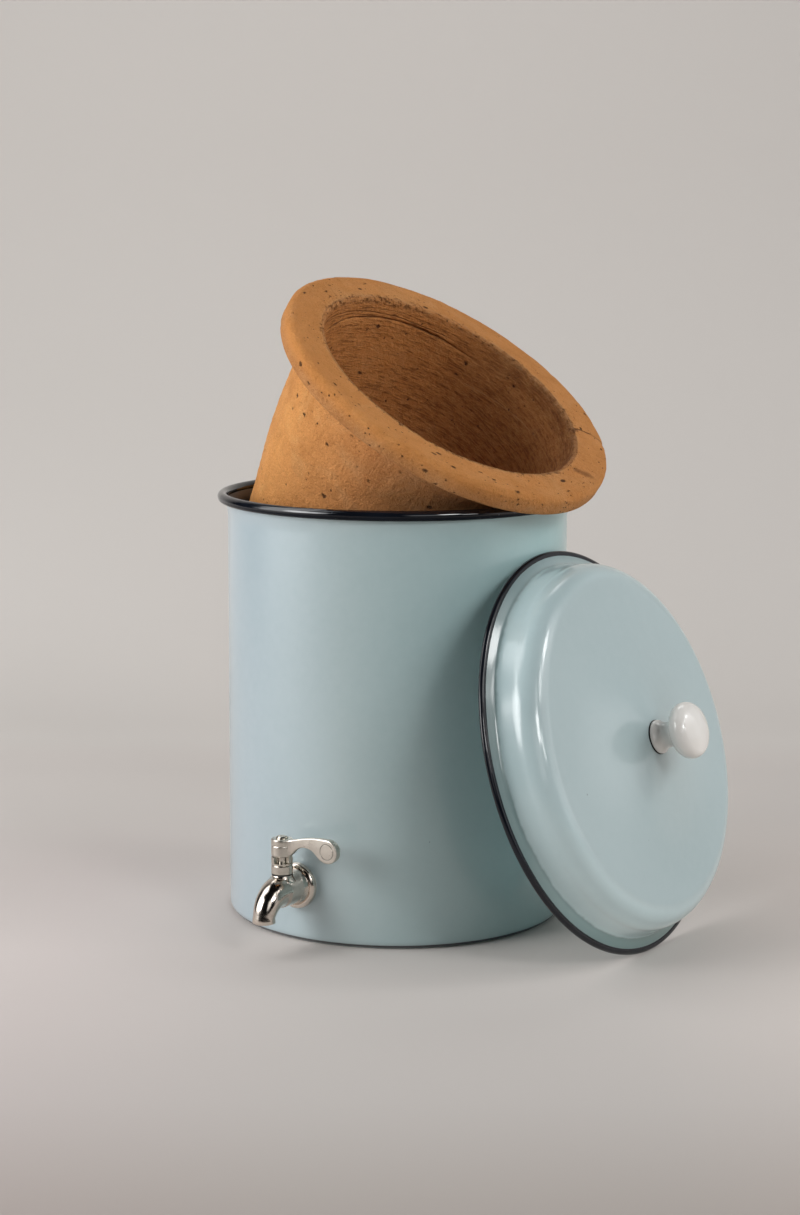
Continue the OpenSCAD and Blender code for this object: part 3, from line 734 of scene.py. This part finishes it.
pot_in += dense([(92.5 - 5.0 * TA, -5.0), (ix + 26 * CA, wi - 26 * SA)], 1.9)[1:]
pot_in += arc(ix, wi, 26, -11, -88, 14)
pot_in += [(40, -DEPTH + 14), (26, -DEPTH + 14), (12, -DEPTH + 14), (0.0, -DEPTH + 14)]
profile = dense(pot_out, 1.9) + pot_in

rng = np.random.default_rng(7)
# hand-made faults: (x, y, z, radius, depth) of knocks along the two edges of the flange
KNOCKS = []
for i in range(34):
    a = rng.uniform(0, 2 * math.pi)
    kind = rng.random()
    if kind < 0.6:
        r0, z0 = rm + rng.uniform(0.2, 2.4), FT - rng.uniform(0.0, 2.0)
    elif kind < 0.85:
        r0, z0 = RF - rng.uniform(0.5, 3.5), FT - rng.uniform(0.5, 4.0)
    else:
        r0, z0 = RF - rng.uniform(0.0, 1.0), rng.uniform(3.5, 9.0)
    KNOCKS.append((r0 * math.cos(a), r0 * math.sin(a), z0, rng.uniform(1.8, 4.6), rng.uniform(0.35, 1.1)))
# the chip where the crack meets the mouth, and the dent where it meets the edge
KNOCKS.append(((rm + 0.6) * math.cos(rad(50)), (rm + 0.6) * math.sin(rad(50)), FT - 1.6, 3.6, 1.6))
KNOCKS.append(((RF - 1.5) * math.cos(rad(50.5)), (RF - 1.5) * math.sin(rad(50.5)), FT - 3.0, 3.4, 1.1))


def pot_warp(x, y, z):
    r = math.hypot(x, y)
    if r < 1e-6:
        return x, y, z
    a = math.atan2(y, x)
    ca, sa = x / r, y / r
    wob = noise.noise(Vector((ca * 1.3, sa * 1.3, 2.0 + z * 0.004)))
    lump = noise.noise(Vector((x * 0.045, y * 0.045, z * 0.045)))
    fine = noise.noise(Vector((x * 0.16, y * 0.16, z * 0.16)))
    sand = noise.noise(Vector((x * 0.36, y * 0.36, z * 0.36)))
    dr = 0.35 * wob + 0.28 * lump + 0.13 * fine + 0.11 * sand
    dz = 0.0
    flange = z > 0
    rin = 92.5 + z * TA
    if flange:
        dz = 0.45 * noise.noise(Vector((ca * 1.7, sa * 1.7, 7.0))) * min(1.0, z / 8) + 0.17 * fine + 0.08 * sand + 0.2 * lump
    if r < rin + 1.5 and z < FT - 3 and z > -DEPTH + 20:
        # shallow waves left by throwing, and the groove where the collar joins the wall
        dr += math.sin((z + 2 * wob) * 1.15) * 0.05 + math.sin(z * 0.42 + 3 * wob) * 0.12
        off = z - (-11.6 - 0.1461 * x + 0.0682 * y)
        fade = min(1.0, max(0.0, (-28 - x) / 50))
        dr += 0.75 * fade * math.exp(-((off / 0.8) ** 2)) - 0.25 * fade * math.exp(-(((off - 2.0) / 1.2) ** 2))
    elif not flange and r > rin + 4:
        dr += 0.12 * math.sin((z + 2 * wob) * 0.9)
        # the thrown wall is a little full below the neck
        if -135 < z < -22:
            dr += 2.2 * math.sin(math.pi * ((-22 - z) / 113) ** 0.8) ** 2
    x2, y2, z2 = ca * (r + dr), sa * (r + dr), z + dz
    for kx, ky, kz, kr, kd in KNOCKS:
        d2 = (x - kx) ** 2 + (y - ky) ** 2 + (z - kz) ** 2
        if d2 < (kr * 1.6) ** 2:
            w = math.exp(-d2 / (kr * kr) * 1.6) * kd
            z2 -= w * 0.8
            x2 += (ca * w * 0.5) if r < 105 else (-ca * w * 0.6)
            y2 += (sa * w * 0.5) if r < 105 else (-sa * w * 0.6)
    return x2, y2, z2


SEG = 500
pot = outward(lathe("clay_pot", profile, SEG, POT_M, warp=pot_warp, sharp=None))
assign(pot, M_CLAY)
piece(pot, "filter", "clay", "filter_pot")

# --------------------------------------------------------------------- tap
TZ, HUB = 40.0, -137.0
AXIS_Y = Matrix.Translation((0, -119.5 * MM, TZ * MM)) @ Matrix.Rotation(rad(90), 4, "X")
fl = [(7.75, 0.0), (15.3, 0.0)]
fl += arc(15.0, 0.75, 0.75, -70, 0, 4)
fl += arc(12.9, 2.2, 2.85, 0, 78, 12)
fl += [(12.95, 4.9), (12.75, 4.65), (12.55, 4.95)]
fl += [(12.3, 5.6), (11.9, 6.6), (11.5, 8.0), (11.2, 9.6), (9.0, 9.8), (7.75, 9.6)]
flange = outward(lathe("tap_flange", dense(fl, 1.2), 144, AXIS_Y, closed=True, sharp=35))

SEGS = 72
X = (1, 0, 0)
st = []
for y, r in ((-120.5, 11.9), (-122.5, 11.8), (-125.0, 11.7), (-127.5, 11.45), (-130, 11.3), (-132.5, 11.25), (-135, 11.25), (-137.5, 11.2), (-139.2, 11.12)):
    st.append(((0, y, TZ), (0, 0, 1), X, r, r))
for i in range(0, 25):
    a = 90 * i / 24
    s, c = math.sin(rad(a)), math.cos(rad(a))
    r = 11.05 - 3.75 * (min(a, 78) / 78) ** 0.8
    if a > 78:
        r += 0.28 * math.sin((a - 78) / 12 * math.pi / 2)
    squash = 1.0 + 0.05 * (a / 90)
    st.append(((0, HUB - 3.5 - 17 * s, TZ - 17 + 17 * c), (0, -s, c), X, r * squash * 0.99, r / squash * 1.01))
yo = HUB - 20.5
st.append(((0, yo, 22.75), (0, -1, 0), X, 7.55, 7.25))
st.append(((0, yo, 22.55), (0, -1, 0), X, 7.2, 6.95))
st.append(((0, yo, 22.55), (0, -1, 0), X, 6.0, 5.8))
st.append(((0, yo, 22.8), (0, -1, 0), X, 5.55, 5.4))
st.append(((0, yo, 24.5), (0, -1, 0), X, 5.1, 5.0))
for a in (78, 62, 46, 30):
    s, c = math.sin(rad(a)), math.cos(rad(a))
    st.append(((0, HUB - 3.5 - 17 * s, TZ - 17 + 17 * c), (0, -s, c), X, 4.55, 4.55))
spout = tube("tap_spout", st, SEGS)
cap_ends(spout, SEGS, len(st))

BOSS_M = Matrix.Translation((0, HUB * MM, TZ * MM))
boss = outward(lathe("tap_boss", dense([(0, 2), (9.6, 2), (9.3, 7.2), (8.3, 8.4), (7.45, 9.3), (7.15, 10.2), (7.15, 10.7), (6.9, 11.0), (0, 11.0)], 0.8), 96, BOSS_M, sharp=40))
shank_prof = [(4.5, -21.5), (7.2, -21.5), (7.75, -20.9)]
zz = -20.4
while zz < -2.5:
    shank_prof += [(7.75, zz), (7.25, zz + 0.45), (7.75, zz + 0.9)]
    zz += 1.25
shank_prof += [(7.75, -1.0), (7.75, 0.6), (4.5, 0.6)]
shank = outward(lathe("tap_shank", shank_prof, 72, AXIS_Y, closed=True, sharp=30))
for o, b in ((flange, "tank"), (spout, "tank"), (boss, "tank"), (shank, "tank")):
    piece(assign(o, M_STEEL), b, "stainless", "tap_body")

# ------------------------------------------------------------------- lever
hub = [(2.6, 23.9), (6.5, 23.9), (7.0, 24.15), (7.2, 24.6), (7.2, 30.9), (7.08, 31.05), (7.08, 31.3), (7.2, 31.45), (7.2, 34.9), (7.05, 35.3), (6.6, 35.6), (2.6, 35.6)]
hub_ob = outward(lathe("lever_hub", dense(hub, 1.0), 128, BOSS_M, closed=True, sharp=35))

LUG = [(4.2, 19.7), (6.9, 19.7), (6.9, 24.2), (4.2, 24.2)]
lv, lf = [], []
for i in range(9):
    a = rad(-12 + 24 * i / 8)
    for r, z in LUG:
        lv.append((r * math.cos(a) * MM, r * math.sin(a) * MM, z * MM))
for i in range(8):
    for j in range(4):
        k = (j + 1) % 4
        lf.append((i * 4 + j, i * 4 + k, (i + 1) * 4 + k, (i + 1) * 4 + j))
lf += [(0, 1, 2, 3), (32, 35, 34, 33)]
lug = outward(make_object("lever_lug", lv, lf, BOSS_M, sharp=30))

top_pts = [(2, 34.6), (8, 35.7), (14, 37.1), (20, 38.4), (26, 39.3), (32, 39.78), (37.5, 39.8)]
bot_pts = [(2, 24.3), (6.5, 24.4), (9.3, 26.4), (12.5, 29.6), (16.5, 31.5), (20.5, 31.8), (24.5, 30.9), (28, 28.6), (31, 26.0), (34.2, 24.25), (37.5, 23.8)]
thick_pts = [(2, 6.4), (6, 6.0), (9, 4.6), (13, 3.9), (20, 3.7), (27, 3.9), (31, 4.5), (37.5, 4.9), (46, 4.9)]
av, af = [], []
NX, NC = 90, 28
for i in range(NX + 1):
    if i <= 60:
        x = 2 + 35.5 * i / 60
        zt, zb = spline(top_pts, x), spline(bot_pts, x)
    else:
        a = rad(90 * (i - 60) / (NX - 60))
        x = 37.5 + 8.0 * math.sin(a)
        h = max(0.02, 8.0 * math.cos(a))
        zt, zb = 31.8 + h, 31.8 - h
    th = spline(thick_pts, x) / 2
    hh, mid = (zt - zb) / 2, (zt + zb) / 2
    if i > 60:
        th *= min(1.0, 0.55 + 0.45 * (hh / 2.4)) if hh < 2.4 else 1.0
    e = 0.16 if hh > 1.5 else 0.4
    for j in range(NC):
        a = 2 * math.pi * j / NC
        c, s = math.cos(a), math.sin(a)
        yy = th * math.copysign(abs(c) ** (e * 2), c)
        z2 = mid + hh * math.copysign(abs(s) ** min(1.0, max(0.12, 1.2 * th / max(hh, 1e-3) * 0.32)), s)
        av.append((x * MM, yy * MM, z2 * MM))
for i in range(NX):
    for j in range(NC):
        k = (j + 1) % NC
        af.append((i * NC + j, i * NC + k, (i + 1) * NC + k, (i + 1) * NC + j))
af.append(tuple(range(NC)))
af.append(tuple(NX * NC + j for j in range(NC)))
arm = outward(make_object("lever_arm", av, af, BOSS_M, sharp=42))
lever = join("lever_handle", [hub_ob, lug, arm])
lever.data.set_sharp_from_angle(angle=rad(42))
lever.data.polygons.foreach_set("use_smooth", [True] * len(lever.data.polygons))
piece(assign(lever, M_LEVER), "valve", "stainless", "lever")

# ------------------------------------------------------------------- stage
CAM_A = rad(33.5)
RIGHT = Vector((math.cos(CAM_A), math.sin(CAM_A), 0))
FWD = Vector((-math.sin(CAM_A), math.cos(CAM_A), 0))
UP = Vector((0, 0, 1))


def at(x, y, z):
    return RIGHT * x + FWD * y + UP * z


sweep = [(-4.5, 0.0), (-2.0, 0.0), (-0.6, 0.0), (0.0, 0.0), (0.45, 0.0)]
sweep += [(0.62 + 0.55 * math.sin(rad(a)), 0.55 - 0.55 * math.cos(rad(a))) for a in range(0, 91, 5)]
sweep += [(1.17, 1.2), (1.17, 3.6)]
sv, sf = [], []
for y, z in sweep:
    for x in (-4.5, 4.5):
        sv.append(at(x, y, z))
for i in range(len(sweep) - 1):
    sf.append((2 * i, 2 * i + 1, 2 * i + 3, 2 * i + 2))
floor = make_object("studio_sweep", sv, sf, sharp=None)
ks = Mat("studio_paper")
px, py, pz = ks.xyz()
ahead = ks.math("ADD", ks.math("MULTIPLY", px, FWD.x), ks.math("MULTIPLY", py, FWD.y))
far = ks.map(ahead, 0.47, 0.55, 0.0, 1.0, True)
paper = ks.mix(far, (0.60, 0.562, 0.535), (0.60, 0.570, 0.542))
# painted shade: the paper darkens towards the camera, as the light falls off
painted_falloff = [(-1.3, 0.50), (-0.70, 0.56), (-0.56, (0.63, 0.605, 0.588)), (-0.40, 0.805), (-0.30, 0.88), (-0.12, 0.985), (0.42, 0.965), (0.56, 1.03)]
painted_light_and_shade = ks.ramp(ks.map(ahead, -1.3, 0.65, 0.0, 1.0), [((f + 1.3) / 1.95, v) for f, v in painted_falloff])
paper = ks.mix(1.0, paper, painted_light_and_shade, "MULTIPLY")
across = ks.math("ADD", ks.math("MULTIPLY", px, RIGHT.x), ks.math("MULTIPLY", py, RIGHT.y))
# painted light and shade: near the objects the paper is darker on the left and lighter on the right; further back, low
# down, it is lighter on the left
painted_light_near = ks.ramp(ks.map(across, -0.45, 0.45, 0.0, 1.0), [(0.0, (0.935, 0.925, 0.920)), (0.25, (0.970, 0.935, 0.945)), (0.45, 1.0), (0.66, 1.02), (0.93, (1.17, 1.12, 1.10))])
painted_light_far = ks.ramp(ks.map(across, -0.50, 0.50, 0.0, 1.0), [(0.0, 1.08), (0.25, 1.05), (0.5, 1.0), (1.0, 1.0)])
paper = ks.mix(ks.map(ahead, 0.30, 0.05, 0.0, 1.0, True), paper, ks.mix(1.0, paper, painted_light_near, "MULTIPLY"))
band = ks.math("MULTIPLY", ks.map(ahead, 0.22, 0.40, 0.0, 1.0, True), ks.map(pz, 0.02, 0.30, 1.0, 0.0, True))
paper = ks.mix(band, paper, ks.mix(1.0, paper, painted_light_far, "MULTIPLY"))
paper = ks.mix(ks.map(ks.noise(1.3, 2), 0.3, 0.7, 0.0, 0.12), paper, ks.mix(0.5, paper, (0.585, 0.555, 0.53)))
ks.set(Base_Color=paper, Roughness=0.85, Specular_IOR_Level=0.2, Normal=ks.bump(ks.noise(500, 3), 0.0002, 0.15))
# the paper is seen from its front only, so that a view from behind isn't blocked, and it
# fades into the pale studio out of the photograph's frame
back = ks.n("ShaderNodeNewGeometry").outputs["Backfacing"]
clear = ks.n("ShaderNodeBsdfTransparent")
either = ks.n("ShaderNodeMixShader")
gone = ks.math("MAXIMUM", ks.map(ahead, -0.72, -1.25, 0.0, 1.0, True), ks.map(ks.math("ABSOLUTE", across), 1.2, 2.0, 0.0, 1.0, True))
ks.link(ks.math("MAXIMUM", back, gone), either.inputs[0])
ks.link(ks.b.outputs["BSDF"], either.inputs[1])
ks.link(clear.outputs[0], either.inputs[2])
ks.link(either.outputs[0], ks.out.inputs["Surface"])
assign(floor, ks.m)


def area(name, pos, target, sx, sy, power, color, edge=0.3):
    """A soft box: its light fades out towards the edges, as behind a diffusing sheet."""
    li = bpy.data.lights.new(name, "AREA")
    li.shape = "RECTANGLE"
    li.size, li.size_y = sx, sy
    li.energy = power
    li.color = color
    li.use_nodes = True
    nt = li.node_tree
    em = next(n for n in nt.nodes if n.type == "EMISSION")
    geo = nt.nodes.new("ShaderNodeNewGeometry")
    sep = nt.nodes.new("ShaderNodeSeparateXYZ")
    nt.links.new(geo.outputs["Parametric"], sep.inputs[0])
    fades = []
    for i in (0, 1):
        off = nt.nodes.new("ShaderNodeMath")
        off.operation = "SUBTRACT"
        nt.links.new(sep.outputs[i], off.inputs[0])
        off.inputs[1].default_value = 0.5
        ab = nt.nodes.new("ShaderNodeMath")
        ab.operation = "ABSOLUTE"
        nt.links.new(off.outputs[0], ab.inputs[0])
        mr = nt.nodes.new("ShaderNodeMapRange")
        mr.interpolation_type = "SMOOTHSTEP"
        mr.inputs["From Min"].default_value = 0.5 - edge
        mr.inputs["From Max"].default_value = 0.5
        mr.inputs["To Min"].default_value = 1.0
        mr.inputs["To Max"].default_value = 0.0
        nt.links.new(ab.outputs[0], mr.inputs["Value"])
        fades.append(mr.outputs[0])
    mul = nt.nodes.new("ShaderNodeMath")
    mul.operation = "MULTIPLY"
    nt.links.new(fades[0], mul.inputs[0])
    nt.links.new(fades[1], mul.inputs[1])
    nt.links.new(mul.outputs[0], em.inputs["Strength"])
    ob = bpy.data.objects.new(name, li)
    bpy.context.scene.collection.objects.link(ob)
    ob.location = pos
    ob.rotation_euler = (Vector(target) - Vector(pos)).to_track_quat("-Z", "Y").to_euler()
    return ob


for name, pos, sx, sy, power in (
    ("key_left", (-1.3, -0.3, 0.6), 1.3, 1.4, 16.6),
    ("key_left_front", (-1.15, -0.7, 0.7), 0.9, 1.0, 18.4),
    ("fill_front_right", (0.6, -1.8, 0.8), 1.1, 1.2, 4.6),
    ("fill_right", (1.3, -0.3, 0.6), 1.4, 1.5, 7.7),
    ("edge_right", (1.25, 0.40, 0.5), 1.2, 1.5, 2.8),
    ("top_left", (-1.0, 0.0, 1.4), 1.2, 1.2, 11.8),
    ("top_back", (0.0, 0.75, 1.6), 1.6, 0.6, 8.4),
    ("high_right_side", (1.25, -0.2, 1.2), 1.1, 1.1, 3.2),
    ("high_right_far", (1.2, -1.8, 1.4), 0.7, 0.7, 20.0),
    ("spot_front_right", (1.0, -1.2, 1.5), 0.5, 0.5, 1.5),
    ("spot_right", (1.4, -0.8, 1.4), 0.5, 0.5, 4.6),
    ("spot_right_side", (1.5, -0.3, 1.5), 0.5, 0.5, 8.5),
    ("spot_right_low", (1.5, -1.5, 1.0), 0.5, 0.5, 4.5),
):
    area(name, at(*pos), at(0, 0, 0.2), sx, sy, power, (1.0, 1.0, 1.0))

world = bpy.data.worlds.new("studio")
world.use_nodes = True
bg = world.node_tree.nodes["Background"]
bg.inputs["Color"].default_value = (0.93, 0.93, 0.93, 1)
bg.inputs["Strength"].default_value = 0.004
# what a camera sees past the paper is a plain pale studio
seen = world.node_tree.nodes.new("ShaderNodeBackground")
seen.inputs["Color"].default_value = (0.55, 0.52, 0.495, 1)
pick = world.node_tree.nodes.new("ShaderNodeMixShader")
path = world.node_tree.nodes.new("ShaderNodeLightPath")
world.node_tree.links.new(path.outputs["Is Camera Ray"], pick.inputs[0])
world.node_tree.links.new(bg.outputs[0], pick.inputs[1])
world.node_tree.links.new(seen.outputs[0], pick.inputs[2])
world.node_tree.links.new(pick.outputs[0], world.node_tree.nodes["World Output"].inputs["Surface"])
bpy.context.scene.world = world

cam_data = bpy.data.cameras.new("camera")
cam_data.sensor_fit = "AUTO"
cam_data.sensor_width = 36.0
cam_data.lens = 2463.73 / 1215 * 36.0
cam_data.clip_start = 0.05
cam_data.clip_end = 30
cam = bpy.data.objects.new("camera", cam_data)
bpy.context.scene.collection.objects.link(cam)
cam.matrix_world = (
    Matrix.Translation(at(0, -1.70008, 0.48179))
    @ Matrix.Rotation(CAM_A - 0.00114871, 4, "Z")
    @ Matrix.Rotation(math.pi / 2 - 0.157278, 4, "X")
    @ Matrix.Rotation(0.00386216, 4, "Z")
)
bpy.context.scene.camera = cam
bpy.context.scene.view_settings.view_transform = "Standard"
bpy.context.scene.view_settings.look = "None"
